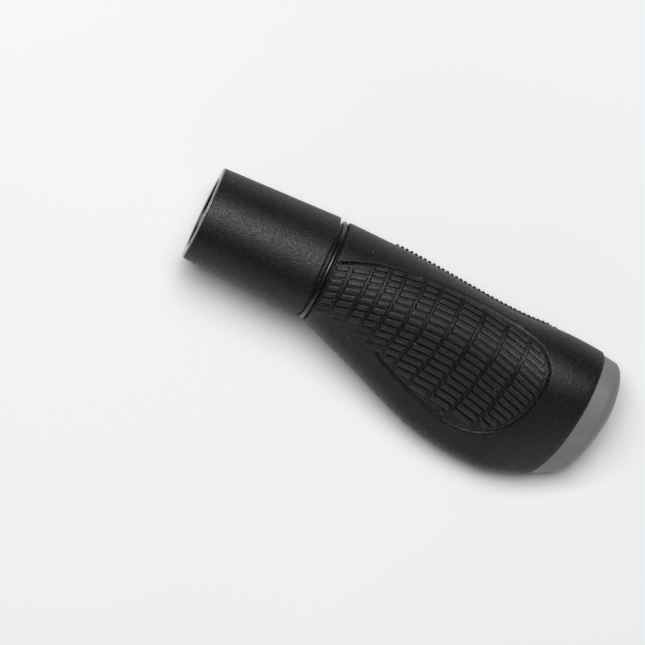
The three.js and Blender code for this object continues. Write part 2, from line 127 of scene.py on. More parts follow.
# Palm pad, with its places along the grip from the body's start
PALM_OUTLINE = [(1, -3.2), (5.6, -5.4), (12.6, -7.9), (20, -9.4), (27.7, -10.3), (35.7, -10.9),
                (43.8, -11.0), (52.3, -10.4), (60.7, -9.4), (67.8, -7.3), (71.5, -4.3),
                (73.9, -0.7), (74.7, 4.5), (74.3, 9.3), (73.4, 13.7), (70.4, 20.0), (64.8, 24.3),
                (58.7, 26.0), (51.2, 25.6), (43.9, 24.0), (35.8, 21.5), (29.8, 19.2), (25.5, 17.5),
                (23.8, 16.2)]
PALM_FADE_EDGE = [(-2.2, 14.2), (11.8, 14.6), (16.9, 15.7), (21.7, 17.2)]
COLUMN_EDGES = [EDGE_ROUND, 5, 11.2, 16.3, 21.2, 27.4, 33.2, 40.6, 48.3, 56.6, 64.8, 74.3]
COLUMN_BOW = 4.0
COLUMN_BOW_REACH = 35.0
FIRST_BOWED_EDGE = 3
FIRST_ROW = -10.4
ROW_MIDDLE = 37.8
ROW_ARC_RADIUS = 110.0
ROW_PITCH = 1.96
ROW_SPREAD = 0.0303
ROW_COUNT = 20
ROW_SQUEEZE = 0.7

# Palm bars. Their height rises from the foot of the wall by the profile: distances in, then shares.
PALM_BAR_SHARE = 0.79
PALM_BAR_GAP = 0.8
PALM_BAR_MARGIN = 0.12
PALM_BAR_LEAST = 1.2
PALM_BAR_STEP = 0.3
PALM_BAR_HEIGHT = 0.6
PALM_BAR_CORNER = 0.45
PALM_BAR_PROFILE = ((0, 0.13, 0.24, 0.6), (0, 0.82, 0.94, 1))
PALM_FADE_LENGTH = 3.5
PALM_FADE_LEAST = 0.25

# Engraved line. Its flanks' fall and its lip's place count in half widths.
PALM_LINE_WIDTH = 1.0
PALM_LINE_DEPTH = 0.65
PALM_LINE_FALL = 4.0
PALM_LINE_FLANK = 0.3
PALM_LINE_LIP = 0.02
PALM_LINE_LIP_PLACE = 1.7

# Finger pad: upright bars in cells round the underside, and leaning bars in the rear cells
UNDER_CELLS = 9
REAR_CELLS = 2
FINGER_PITCH = 1.6
FINGER_GAP = 1.0
FINGER_BAR_CORNER = 0.4
FINGER_WALL = 0.2
FINGER_BAR_PROFILE = ((0, FINGER_WALL), (0, 1))
FINGER_BARS = {"pitch": FINGER_PITCH, "share": 0.78, "lean": 0, "cells": range(REAR_CELLS, UNDER_CELLS)}
REAR_BARS = {"pitch": 3.6, "share": 0.64, "lean": 2.4, "cells": range(REAR_CELLS)}
SLEEVE_PAD = {"origin": SLEEVE_LENGTH, "from": -25.5, "to": -1.5, "rear_from": -11.9, "rear_to": -0.1,
              "height": 0.6,
              "upper": [(-26, 9), (-19, 4.5), (-1, 3)],
              "rear": [(-26, 24), (-15, 40), (-1, 47)]}
BODY_PAD = {"origin": BODY_START, "from": 1.5, "to": 73.5, "rear_from": 7, "rear_to": 28.8,
            "height": 0.8,
            "upper": [(1, 3), (15, 2), (21, -1.2), (66, -1.2), (74, 5)],
            "rear": [(1, 50), (16, 47), (28, 38), (42, 30), (58, 28), (68, 25), (74, 18)]}

# Mesh lines round a section: the front, the palm's rows, and the cells underneath
FRONT_LINES = 9
ROW_LINES = (0, 0.105, 0.17, 0.215, 0.36, 0.64, 0.785, 0.83, 0.895)
LEAD_LINES = (-2, -1.6, -1.25, -1.05, -0.9, -0.75, -0.6, -0.45, -0.3, -0.15)
PAD_ROWS = 16
LAST_ROW_LINES = 6
REAR_CELL_LINES = 12
ROWS_BEFORE = 2
SLEEVE_FRONT_SHARE = 0.2
CORE_AROUND = 180

# Mesh stations along the bore
SLEEVE_PLAIN_START = 2
SLEEVE_PLAIN_STATIONS = 8
PAD_LEAD = 1
PALM_END_STEP = 0.35
PALM_END_REACH = 1.6
BODY_END_LEAD = 0.8
BODY_END_STATIONS = 11
CAP_SIDE_STATIONS = 5
DOME_STEPS = 16
BEAD_STEPS = 10
ROUND_STEPS = 4
RIM_ROUND_STEPS = 3
LINE_STEPS = 160
SHARP_ANGLE = 40


def along(stations, x):
    """A smooth value through the stations given."""
    last = len(stations) - 1
    if x <= stations[0][0]:
        return stations[0][1]
    if x >= stations[last][0]:
        return stations[last][1]
    i = next(k for k in range(last) if x <= stations[k + 1][0])
    (x0, y0), (x1, y1) = stations[i], stations[i + 1]

    def slope(k):
        a, b = stations[max(k - 1, 0)], stations[min(k + 1, last)]
        return (b[1] - a[1]) / (b[0] - a[0])

    step = x1 - x0
    t = (x - x0) / step
    rise = y0 + (y1 - y0) * (3 - 2 * t) * t * t
    return rise + slope(i) * step * t * (1 - t) ** 2 - slope(i + 1) * step * t * t * (1 - t)


def smoothstep(low, high, value):
    t = np.clip((value - low) / (high - low), 0, 1)
    return t * t * (3 - 2 * t)


def quarter_turn(steps):
    """Angles through a quarter turn, with both its ends."""
    return [step / steps * math.pi / 2 for step in range(steps + 1)]


def spline(points, steps):
    """A smooth open curve through the points."""
    points = np.array(points, float)
    last = len(points) - 1
    curve = []
    for place in np.linspace(0, last, steps + 1):
        i = min(int(place), last - 1)
        t = place - i
        p0, p1, p2, p3 = (points[min(max(k, 0), last)] for k in (i - 1, i, i + 1, i + 2))
        v1, v2 = (p2 - p0) / 2, (p3 - p1) / 2
        cubic = 2 * p1 - 2 * p2 + v1 + v2
        square = -3 * p1 + 3 * p2 - 2 * v1 - v2
        curve.append(cubic * t ** 3 + square * t ** 2 + v1 * t + p1)
    return np.array(curve)


# Sections of the skin

def angle_to(a, b):
    return math.atan2(b[1] - a[1], b[0] - a[0])


def touching(a, b, radius, outside=False):
    """The circle that goes round circles a and b, or the one that lies outside both."""
    da, db = (radius + c[2] if outside else radius - c[2] for c in (a, b))
    distance = math.hypot(b[0] - a[0], b[1] - a[1])
    forward = (da * da - db * db + distance * distance) / (2 * distance)
    sideways = math.sqrt(max(da * da - forward * forward, 0)) * (-1 if outside else 1)
    du, dz = (b[0] - a[0]) / distance, (b[1] - a[1]) / distance
    return [a[0] + du * forward + dz * sideways, a[1] + dz * forward - du * sideways, radius]


class Outline:
    """A section's outline: arcs from the front over the top to the wing and back underneath."""

    def __init__(self, arcs):
        self.circles = np.array([circle for circle, _, _ in arcs], float)
        self.start = np.array([start for _, start, _ in arcs])
        self.sweep = np.array([sweep for _, _, sweep in arcs])
        self.lengths = np.abs(self.sweep) * self.circles[:, 2]
        self.ends = np.cumsum(self.lengths)
        self.length = self.ends[-1]

    def point(self, distance, lift=0.0):
        """The points at distances round the outline, lifted off it."""
        distance = np.mod(distance, self.length)
        k = np.minimum(np.searchsorted(self.ends, distance), len(self.ends) - 1)
        passed = distance - (self.ends[k] - self.lengths[k])
        angle = self.start[k] + self.sweep[k] * passed / self.lengths[k]
        middle_u, middle_z, radius = self.circles[k].T
        reach = radius + np.where(self.sweep[k] < 0, lift, -np.asarray(lift))
        return middle_u + reach * np.cos(angle), middle_z + reach * np.sin(angle)

    def edge(self):
        """The distance round to the wing's outermost line, or half way round a circle."""
        if len(self.start) == 1:
            return self.length / 2
        return self.ends[1] + self.circles[2, 2] * self.start[2]

    def distance_to(self, u):
        """The distance round to the place on top that lies at u."""
        passed = 0.0
        arcs = zip(self.circles, self.start, self.sweep, self.lengths)
        for (middle, _, radius), start, sweep, length in arcs:
            if u <= middle + radius * math.cos(start + sweep):
                share = max(-1.0, min(1.0, (u - middle) / radius))
                return passed + radius * (start - math.acos(share))
            passed += length
        return self.edge()


def arc(circle, start, end, clockwise=True):
    turn = (start - end if clockwise else end - start) % (2 * math.pi)
    return circle, start, -turn if clockwise else turn


def circle_outline(radius):
    return Outline([([0, 0, radius], math.pi, -2 * math.pi)])


def body_outline(x, inset=0.0):
    at = x - BODY_START
    bar = [0, 0, along(BAR_RADIUS, at)]
    belly = [0, bar[2] - BELLY_DEPTH, bar[2]]
    edge_radius = along(WING_EDGE_RADIUS, at)
    edge = [along(WING_REACH, at) - edge_radius, edge_radius - along(WING_DEPTH, at), edge_radius]
    crown = touching(bar, edge, CROWN_RADIUS)
    hollow = touching(edge, belly, HOLLOW_RADIUS, outside=True)
    flank = touching(belly, bar, FLANK_RADIUS)
    for circle in (bar, belly, edge, crown, flank):
        circle[2] -= inset
    hollow[2] += inset
    return Outline([
        arc(bar, angle_to(flank, bar), angle_to(crown, bar)),
        arc(crown, angle_to(crown, bar), angle_to(crown, edge)),
        arc(edge, angle_to(crown, edge), angle_to(edge, hollow)),
        arc(hollow, angle_to(hollow, edge), angle_to(hollow, belly), clockwise=False),
        arc(belly, angle_to(belly, hollow), angle_to(flank, belly)),
        arc(flank, angle_to(flank, belly), angle_to(flank, bar)),
    ])


def sleeve_radius(x):
    return SLEEVE_MOUTH_RADIUS + (SLEEVE_END_RADIUS - SLEEVE_MOUTH_RADIUS) * x / SLEEVE_LENGTH


def skin_outline(x):
    return circle_outline(sleeve_radius(x)) if x < BODY_START else body_outline(x)


def placed(x, u, z):
    """Points in the frame. The outer end leans back on the wing side."""
    u, z = np.asarray(u, float), np.asarray(z, float)
    share = min(max((x - BODY_START - SWEEP_START) / (BODY_LENGTH - SWEEP_START), 0), 1)
    along_bore = x - share * END_SWEEP * (np.maximum(u, 0) / SWEEP_REACH) ** 4
    return np.stack([
        BORE_MOUTH.x + along_bore * MM,
        BORE_MOUTH.y - u * MM,
        BORE_MOUTH.z + z * MM,
    ], axis=-1)


# Palm pad

def row_offset(row):
    return ROW_PITCH * row + ROW_SPREAD * row * row


def row_distance(x, outline, row):
    """The distance round the skin to a row. The rows spread, then squeeze up to the wing's edge."""
    along_arc = x - BODY_START - ROW_MIDDLE
    first = outline.distance_to(FIRST_ROW + along_arc ** 2 / (2 * ROW_ARC_RADIUS))
    room = outline.edge() - first
    spare = ROW_PITCH - ROW_SQUEEZE
    root = math.sqrt(spare * spare + 4 * ROW_SPREAD * (room - ROW_COUNT * ROW_SQUEEZE))
    full = min((root - spare) / (2 * ROW_SPREAD), ROW_COUNT)
    return first + row_offset(np.minimum(row, full)) + np.maximum(row - full, 0) * ROW_SQUEEZE


def column_x(edge, row):
    """A column's edge bows towards the mouth on its way to the wing."""
    start = smoothstep(0, COLUMN_EDGES[FIRST_BOWED_EDGE], edge)
    end = 1 - smoothstep(COLUMN_EDGES[-2], BODY_LENGTH, edge)
    down = row_offset(max(row, 0))
    return BODY_START + edge - COLUMN_BOW * start * end * min(down / COLUMN_BOW_REACH, 1) ** 2


# The engraved line, and the area in it and up to the edge where the pad fades out
palm_line = spline(PALM_OUTLINE, LINE_STEPS)
palm_corner = (PALM_FADE_EDGE[0][0], PALM_OUTLINE[0][1])
palm_area = np.vstack([palm_line, PALM_FADE_EDGE[::-1], [palm_corner]])
for curve in (palm_line, palm_area):
    curve[:, 0] += BODY_START


def in_area(x, u):
    """Which of the points lie inside the palm pad's outline."""
    ax, au = palm_area[:, 0, None], palm_area[:, 1, None]
    bx, bu = np.roll(palm_area, 1, axis=0).T[:, :, None]
    x, u = np.broadcast_arrays(np.asarray(x, float), np.asarray(u, float))
    crosses = (au > u) != (bu > u)
    crossing = ax + (bx - ax) * (u - au) / np.where(au == bu, 1, bu - au)
    return (crosses & (x < crossing)).sum(axis=0) % 2 == 1


def line_distance(x, u):
    """How far each point lies from the engraved line."""
    start, step = palm_line[:-1, :, None], np.diff(palm_line, axis=0)[:, :, None]
    off_x, off_u = x - start[:, 0], u - start[:, 1]
    t = np.clip((off_x * step[:, 0] + off_u * step[:, 1]) / (step ** 2).sum(axis=1), 0, 1)
    return np.hypot(off_x - t * step[:, 0], off_u - t * step[:, 1]).min(axis=0)


def line_crossings(x, outline):
    """The distances round a section at which the engraved line crosses it."""
    (x0, u0), (x1, u1) = palm_line[:-1].T, palm_line[1:].T
    hit = (x0 - x) * (x1 - x) < 0
    places = (u0 + (u1 - u0) * (x - x0) / np.where(x1 == x0, 1, x1 - x0))[hit]
    return [outline.distance_to(u) for u in places]


def pad_lines(pad):
    """Stations along the bore that follow the feet and tops of a pad's finger bars."""
    foot = FINGER_PITCH * (1 - FINGER_BARS["share"]) / 2
    top = foot + FINGER_WALL
    within = [foot, top, FINGER_PITCH / 2, FINGER_PITCH - top, FINGER_PITCH - foot]
    count = round((pad["to"] - pad["from"]) / FINGER_PITCH)
    start = pad["origin"] + pad["from"]
    lines = [start + i * FINGER_PITCH + place for i in range(count) for place in within]
    return lines + [start + count * FINGER_PITCH]


def body_stations():
    """Where the body's rings stand along the bore, between its rounded ends."""
    xs = pad_lines(BODY_PAD)
    xs = [BODY_FIRST, (BODY_FIRST + xs[0]) / 2] + xs
    palm_end = BODY_START + COLUMN_EDGES[-1] + PALM_END_REACH
    xs += list(np.arange(xs[-1] + PALM_END_STEP, palm_end, PALM_END_STEP))
    return np.array(xs + list(np.linspace(xs[-1] + BODY_END_LEAD, BODY_LAST, BODY_END_STATIONS)))


body_xs = body_stations()


def bar_places(row, left, right):
    """Where a bar of this row fits inside the palm pad, with its wing-side edge at each place."""
    half = PALM_LINE_WIDTH / 2
    sides = np.array([(0, -half), (0, half), (-2 * half, 0), (2 * half, 0)])
    places = []
    for x in np.linspace(left, right, round((right - left) / PALM_BAR_STEP) + 1):
        outline = skin_outline(x)
        upper, lower = row_distance(x, outline, np.array([row, row + 1.0]))
        margin = (lower - upper) * (1 - PALM_BAR_SHARE) / 2
        u = outline.point(np.array([upper + margin, lower - margin]))[0]
        around_x = (x + sides[:, :1]).repeat(2, axis=1)
        around_u = u + sides[:, 1:]
        if in_area(around_x.ravel(), around_u.ravel()).all():
            places.append((x, u[1]))
    return places


def fade_share(x, u):
    """The share of its height that a palm bar keeps where the pad fades out."""
    if x >= palm_line[-1][0]:
        return 1
    inside = along(PALM_FADE_EDGE, x - BODY_START) - u
    return min(max(inside / PALM_FADE_LENGTH, PALM_FADE_LEAST), 1)


def palm_bars():
    """Each palm bar's ends along the bore and its height, by row and column."""
    columns = len(COLUMN_EDGES) - 1
    low = np.full((ROW_COUNT, columns), np.nan)
    high = np.full((ROW_COUNT, columns), np.nan)
    tall = np.zeros((ROW_COUNT, columns))
    for column in range(columns):
        lead = PALM_BAR_GAP / 2 if column else PALM_BAR_MARGIN
        for row in range(ROW_COUNT):
            left = column_x(COLUMN_EDGES[column], row + 0.5) + lead
            right = column_x(COLUMN_EDGES[column + 1], row + 0.5) - PALM_BAR_GAP / 2
            places = bar_places(row, left, right)
            if not places or places[-1][0] - places[0][0] < PALM_BAR_LEAST:
                continue
            for ends, place in ((low, places[0]), (high, places[-1])):
                ends[row, column] = body_xs[np.abs(body_xs - place[0]).argmin()]
            tall[row, column] = PALM_BAR_HEIGHT * fade_share(*places[0])
    return low, high, tall


bar_low, bar_high, bar_tall = palm_bars()


def rounded_bar(a, b, half_a, half_b, corner, profile):
    """The share of a bar's height at a, b from its middle, with rounded corners and a profile."""
    corner = np.minimum(corner, np.minimum(half_a, half_b))
    past_a, past_b = np.abs(a) - half_a + corner, np.abs(b) - half_b + corner
    beside = np.hypot(np.maximum(past_a, 0), np.maximum(past_b, 0))
    outside = beside + np.minimum(np.maximum(past_a, past_b), 0) - corner
    return np.interp(-outside, *profile)


def palm_lift(x, row, u):
    """How far the palm pad stands off the skin at rows round one section."""
    k = np.clip(np.floor(row).astype(int), 0, ROW_COUNT - 1)
    pitch = ROW_PITCH + ROW_SPREAD * (2 * k + 1)
    across = (row - k - 0.5) * pitch
    lift = np.zeros(row.shape)
    for column in range(len(COLUMN_EDGES) - 1):
        low, high, tall = bar_low[k, column], bar_high[k, column], bar_tall[k, column]
        here = ~np.isnan(low) & (row >= 0) & (row < ROW_COUNT)
        if not here.any():
            continue
        middle, half = (low + high) / 2, (high - low) / 2
        half_across = pitch[here] * PALM_BAR_SHARE / 2
        shape = rounded_bar(x - middle[here], across[here], half[here], half_across,
                            PALM_BAR_CORNER, PALM_BAR_PROFILE)
        lift[here] = np.maximum(lift[here], shape * tall[here])
    away = line_distance(np.full(u.shape, x), u) / (PALM_LINE_WIDTH / 2)
    groove = PALM_LINE_DEPTH * np.exp(-(away ** 2) * PALM_LINE_FALL)
    lip = PALM_LINE_LIP * ~in_area(x, u) * np.exp(-((away - PALM_LINE_LIP_PLACE) ** 2))
    return lift - groove + lip


# Finger pad

def bars_lift(pad, bars, centre, x, distance, outline):
    """How far one column of a pad's bars stands off at distances round the section at x."""
    lift = np.zeros(distance.shape)
    edge = outline.edge()
    span = (outline.length - edge) / UNDER_CELLS
    turn = (distance - edge) / span
    across = x - centre + bars["lean"] * turn
    for cell in bars["cells"]:
        middle = centre - bars["lean"] * cell - pad["origin"]
        cell_start = edge + cell * span + FINGER_GAP / 2
        cell_end = edge + (cell + 1) * span - FINGER_GAP / 2
        start = max(cell_start, outline.length - along(pad["rear"], middle))
        end = min(cell_end, outline.length - along(pad["upper"], middle))
        if end - start < FINGER_PITCH:
            continue
        half_across = bars["pitch"] * bars["share"] / 2
        shape = rounded_bar(across, distance - (start + end) / 2, half_across, (end - start) / 2,
                            FINGER_BAR_CORNER, FINGER_BAR_PROFILE)
        lift = np.maximum(lift, shape * pad["height"])
    return lift


def finger_lift(pad, x, outline, distance):
    """How far the finger pad stands off the skin at distances round one section."""
    lift = np.zeros(distance.shape)
    at = x - pad["origin"]
    if pad["from"] <= at <= pad["to"]:
        centre = x + (0.5 - (at - pad["from"]) / FINGER_PITCH % 1) * FINGER_PITCH
        lift = bars_lift(pad, FINGER_BARS, centre, x, distance, outline)
    pitch, lean = REAR_BARS["pitch"], REAR_BARS["lean"]
    centre = pad["origin"] + pad["rear_from"] + pitch / 2
    while centre + pitch / 2 < pad["origin"] + pad["rear_to"]:
        if abs(x - centre + lean) < pitch / 2 + lean * REAR_CELLS:
            lift = np.maximum(lift, bars_lift(pad, REAR_BARS, centre, x, distance, outline))
        centre += pitch
    return lift


# Rings round the skin

pad_rows = [row + part for row in range(PAD_ROWS) for part in ROW_LINES]
rows_round = np.array([*LEAD_LINES, *pad_rows, *np.arange(PAD_ROWS, ROW_COUNT, 1 / LAST_ROW_LINES)])


def palm_lines(x, outline):
    """The lines round the body's top: their distances and rows, with some on the engraved line."""
    even = row_distance(x, outline, rows_round)
    lines = even.copy()
    for crossing in line_crossings(x, outline):
        k = np.abs(lines - crossing).argmin()
        lines[k - 1:k + 2] = crossing + np.array([-1, 0, 1]) * PALM_LINE_FLANK
    lines.sort()
    return lines, np.interp(lines, even, rows_round)


def under_lines(outline):
    """The lines round the underside's cells, at the feet and tops of the bars in them."""
    edge = outline.edge()
    span = (outline.length - edge) / UNDER_CELLS
    foot = FINGER_GAP / 2
    low, high = foot + FINGER_WALL, span - foot - FINGER_WALL
    inner = np.linspace(low, high, REAR_CELL_LINES)[1:-1]
    rear = [0, foot, low, *inner, high, span - foot]
    plain = [0, foot, low, span / 3, 2 * span / 3, high, span - foot]
    cells = [rear] * REAR_CELLS + [plain] * (UNDER_CELLS - REAR_CELLS)
    return np.concatenate([edge + cell * span + np.array(lines) for cell, lines in enumerate(cells)])


def ring_distances(x, outline, on_body):
    """The lines round a section, and the row of each, which is infinite off the rows."""
    if on_body:
        lines, rows = palm_lines(x, outline)
    else:
        shares = (rows_round + ROWS_BEFORE) / (ROW_COUNT + ROWS_BEFORE)
        lines = outline.edge() * (SLEEVE_FRONT_SHARE + (1 - SLEEVE_FRONT_SHARE) * shares)
        rows = rows_round
    front = np.linspace(0, lines[0], FRONT_LINES, endpoint=False)
    under = under_lines(outline)
    rows = np.concatenate([np.full(len(front), -np.inf), rows, np.full(len(under), np.inf)])
    return np.concatenate([front, lines, under]), rows


def skin_ring(x, on_body):
    """A ring on the skin with its pads. Its fourth value is the palm's relief, in bar heights."""
    outline = skin_outline(x)
    distances, rows = ring_distances(x, outline, on_body)
    pad = BODY_PAD if on_body else SLEEVE_PAD
    lift = finger_lift(pad, x, outline, distances)
    relief = np.zeros(distances.shape)
    if on_body:
        palm = np.isfinite(rows)
        u = outline.point(distances[palm])[0]
        relief[palm] = palm_lift(x, rows[palm], u)
    points = placed(x, *outline.point(distances, lift + relief))
    return np.column_stack([points, relief / PALM_BAR_HEIGHT])


def plain_ring(x, outline, like_x, on_body):
    """A ring with the same lines as the skin's at like_x, on another outline."""
    skin = skin_outline(like_x)
    distances, _ = ring_distances(like_x, skin, on_body)
    points = placed(x, *outline.point(distances / skin.length * outline.length))
    return np.column_stack([points, np.zeros(len(points))])


# Pieces

def add_object(name, data):
    obj = bpy.data.objects.new(name, data)
    bpy.context.scene.collection.objects.link(obj)
    return obj


def mesh_object(name, rings, ends=()):
    """A tube through rings of equal numbers of points, joined end to start or closed at its ends.

    A fourth value at each point is kept as its relief, which the material uses for the painted
    highlight on the bar tops.
    """
    points = np.vstack([*rings, *ends])
    count, around = len(rings), len(rings[0])
    faces = []
    for i in range(count - 1 if ends else count):
        here, there = i * around, (i + 1) % count * around
        for j in range(around):
            k = (j + 1) % around
            faces.append((here + j, here + k, there + k, there + j))
    if ends:
        first, last, top = count * around, count * around + 1, (count - 1) * around
        for j in range(around):
            k = (j + 1) % around
            faces.append((first, k, j))
            faces.append((last, top + j, top + k))
    mesh = bpy.data.meshes.new(name)
    mesh.from_pydata(points[:, :3].tolist(), [], faces)
    if points.shape[1] > 3:
        mesh.attributes.new("relief", "FLOAT", "POINT").data.foreach_set("value", points[:, 3])
    mesh.shade_smooth()
    mesh.set_sharp_from_angle(angle=math.radians(SHARP_ANGLE))
    return add_object(name, mesh)


def sleeve_rings():
    """The sleeve, from its rounded rim at the mouth to its rounded end."""
    rings = []
    for turn in quarter_turn(RIM_ROUND_STEPS):
        x = SLEEVE_FIRST + SLEEVE_RIM_ROUND * (1 - math.cos(turn))
        radius = sleeve_radius(x) - SLEEVE_RIM_ROUND * (1 - math.sin(turn))
        rings.append(plain_ring(x, circle_outline(radius), SLEEVE_FIRST, False))
    xs = pad_lines(SLEEVE_PAD)
    plain_xs = np.linspace(SLEEVE_PLAIN_START, xs[0] - PAD_LEAD, SLEEVE_PLAIN_STATIONS)
    xs = [*plain_xs, *xs, (xs[-1] + SLEEVE_LAST) / 2, SLEEVE_LAST]
    rings += [skin_ring(x, False) for x in xs]
    for turn in quarter_turn(ROUND_STEPS)[1:]:
        x = SLEEVE_LAST + EDGE_ROUND * math.sin(turn)
        radius = sleeve_radius(x) - EDGE_ROUND * (1 - math.cos(turn))
        rings.append(plain_ring(x, circle_outline(radius), SLEEVE_LAST, False))
    return rings


def groove_rings():
    """The groove after the sleeve, with the bead in it."""
    floor_radius = SLEEVE_END_RADIUS - GROOVE_DEPTH
    profile = [(SLEEVE_LENGTH, floor_radius), (BEAD_START, floor_radius)]
    for step in range(BEAD_STEPS + 1):
        turn = step / BEAD_STEPS * math.pi
        radius = SLEEVE_END_RADIUS - BEAD_DROP - BEAD_WIDTH / 2 * (1 - math.sin(turn))
        profile.append((BEAD_START + BEAD_WIDTH / 2 * (1 - math.cos(turn)), radius))
    profile += [(BEAD_START + BEAD_WIDTH, floor_radius), (BODY_START, floor_radius)]
    return [plain_ring(x, circle_outline(radius), SLEEVE_LAST, False) for x, radius in profile]


def body_rings():
    """The winged body between its rounded ends."""
    rings = []
    for turn in quarter_turn(ROUND_STEPS)[:-1]:
        x = BODY_START + EDGE_ROUND * (1 - math.cos(turn))
        outline = body_outline(x, EDGE_ROUND * (1 - math.sin(turn)))
        rings.append(plain_ring(x, outline, BODY_FIRST, True))
    rings += [skin_ring(x, True) for x in body_xs]
    for turn in quarter_turn(ROUND_STEPS)[1:]:
        x = BODY_LAST + EDGE_ROUND * math.sin(turn)
        outline = body_outline(x, EDGE_ROUND * (1 - math.cos(turn)))
        rings.append(plain_ring(x, outline, BODY_LAST, True))
    return rings


def rubber_piece():
    """The rubber with the hole that the liner fills."""
    hole = circle_outline(BORE_RADIUS + LINER_WALL + CLEARANCE)
    front, back = (plain_ring(x, hole, SLEEVE_FIRST, False) for x in (SLEEVE_FIRST, BODY_END))
    rings = [front, *sleeve_rings(), *groove_rings(), *body_rings(), back]
    return mesh_object("rubber_overmould", rings)


def core_ring(x, outline, shrink=1.0):
    """A ring of the core, drawn in towards the cap's centre."""
    u, z = outline.point(np.arange(CORE_AROUND) / CORE_AROUND * outline.length)
    centre_u, centre_z = CAP_CENTRE
    return placed(x, centre_u + (u - centre_u) * shrink, centre_z + (z - centre_z) * shrink)


def liner_profile():
    """The liner's section, from the bore's closed end out through the mouth and back to the cap."""
    liner = BORE_RADIUS + LINER_WALL
    mouth = BORE_RADIUS + MOUTH_RELIEF
    profile = [
        (BORE_END, BORE_RADIUS - BORE_END_CUT),
        (BORE_END - BORE_END_CUT, BORE_RADIUS),
        (MOUTH_RELIEF_DEPTH + CORNER_CUT, BORE_RADIUS),
        (MOUTH_RELIEF_DEPTH, BORE_RADIUS + CORNER_CUT),
        (MOUTH_RELIEF_DEPTH, mouth - FINE_CUT),
        (MOUTH_RELIEF_DEPTH - CORNER_CUT, mouth),
        (MOUTH_CHAMFER, mouth),
        (CORNER_CUT, mouth + MOUTH_CHAMFER * CHAMFER_KNEE),
        (0, mouth + MOUTH_CHAMFER),
        (0, SLEEVE_MOUTH_RADIUS - RIM_BEVEL - CORNER_CUT),
    ]
    for turn in quarter_turn(ROUND_STEPS):
        x = RIM_BEVEL_DEPTH * (1 - math.cos(turn))
        profile.append((x, SLEEVE_MOUTH_RADIUS - RIM_BEVEL * (1 - math.sin(turn))))
    return profile + [
        (RIM_THICKNESS - RIM_CUT, SLEEVE_MOUTH_RADIUS),
        (RIM_THICKNESS, SLEEVE_MOUTH_RADIUS - RIM_CUT),
        (RIM_THICKNESS, liner + FINE_CUT),
        (RIM_THICKNESS + FINE_CUT, liner),
        (CAP_START, liner),
    ]


def core_piece():
    """The liner, with the winged cap at its outer end."""
    rings = [core_ring(x, circle_outline(radius)) for x, radius in liner_profile()]
    for x in np.linspace(CAP_START, CAP_SHOULDER, CAP_SIDE_STATIONS):
        rings.append(core_ring(x, body_outline(x, CAP_INSET)))
    shoulder = body_outline(CAP_SHOULDER, CAP_INSET)
    for turn in quarter_turn(DOME_STEPS)[1:-1]:
        rings.append(core_ring(CAP_SHOULDER + CAP_DOME * math.sin(turn), shoulder, math.cos(turn)))
    bore_middle = rings[0].mean(axis=0)
    return mesh_object("liner_core", rings, ends=(bore_middle, placed(CAP_TIP, *CAP_CENTRE)))


# Materials

# Most of a noise's values lie between these
NOISE_RANGE = (0.3, 0.7)


def grey(value):
    return (value, value, value, 1)


def greys(low, high):
    return grey(low), grey(high)


RUBBER_SHADES = ((0.0014, 0.0014, 0.0018, 1), (0.003, 0.003, 0.0031, 1))
RUBBER_FLECK = (0.024, 0.024, 0.022, 1)
# Painted highlight: the lighter colours given to the palm bars' tops, where the light from above falls
# on them
BAR_TOP_HIGHLIGHT_SHADES = ((0.006, 0.006, 0.006, 1), (0.026, 0.026, 0.025, 1))
DUST = (0.08, 0.08, 0.07, 1)
PLASTIC_SHADES = ((0.15, 0.15, 0.148, 1), (0.19, 0.19, 0.187, 1))
PLASTIC_FLECK = (0.26, 0.26, 0.25, 1)
RUBBER_SPECULAR = 0.36
FLOOR_ROUGHNESS = 0.7


def new_material(name):
    material = bpy.data.materials.new(name)
    material.use_nodes = True
    tree = material.node_tree
    return material, tree, tree.nodes["Principled BSDF"]


def noise(tree, scale, detail, roughness=0.5):
    coordinates = tree.nodes.new("ShaderNodeTexCoord")
    texture = tree.nodes.new("ShaderNodeTexNoise")
    texture.inputs["Scale"].default_value = scale
    texture.inputs["Detail"].default_value = detail
    texture.inputs["Roughness"].default_value = roughness
    tree.links.new(coordinates.outputs["Object"], texture.inputs["Vector"])
    return texture.outputs["Fac"]


def ramp(tree, value, colours, places=NOISE_RANGE):
    """A colour that goes from the first to the second while the value goes between the places."""
    node = tree.nodes.new("ShaderNodeValToRGB")
    for element, colour, place in zip(node.color_ramp.elements, colours, places):
        element.position = place
        element.color = colour
    tree.links.new(value, node.inputs["Fac"])
    return node.outputs["Color"]


def bump(tree, height, strength, distance, below=None):
    node = tree.nodes.new("ShaderNodeBump")
    node.inputs["Strength"].default_value = strength
    node.inputs["Distance"].default_value = distance
    tree.links.new(height, node.inputs["Height"])
    if below:
        tree.links.new(below, node.inputs["Normal"])
    return node.outputs["Normal"]


def mixed(tree, factor, low, high):
    """A colour between two, which are colours or sockets."""
    node = tree.nodes.new("ShaderNodeMix")
    node.data_type = "RGBA"
    tree.links.new(factor, node.inputs["Factor"])
    for name, value in (("A", low), ("B", high)):
        if isinstance(value, tuple):
            node.inputs[name].default_value = value
        else:
            tree.links.new(value, node.inputs[name])
    return node.outputs["Result"]


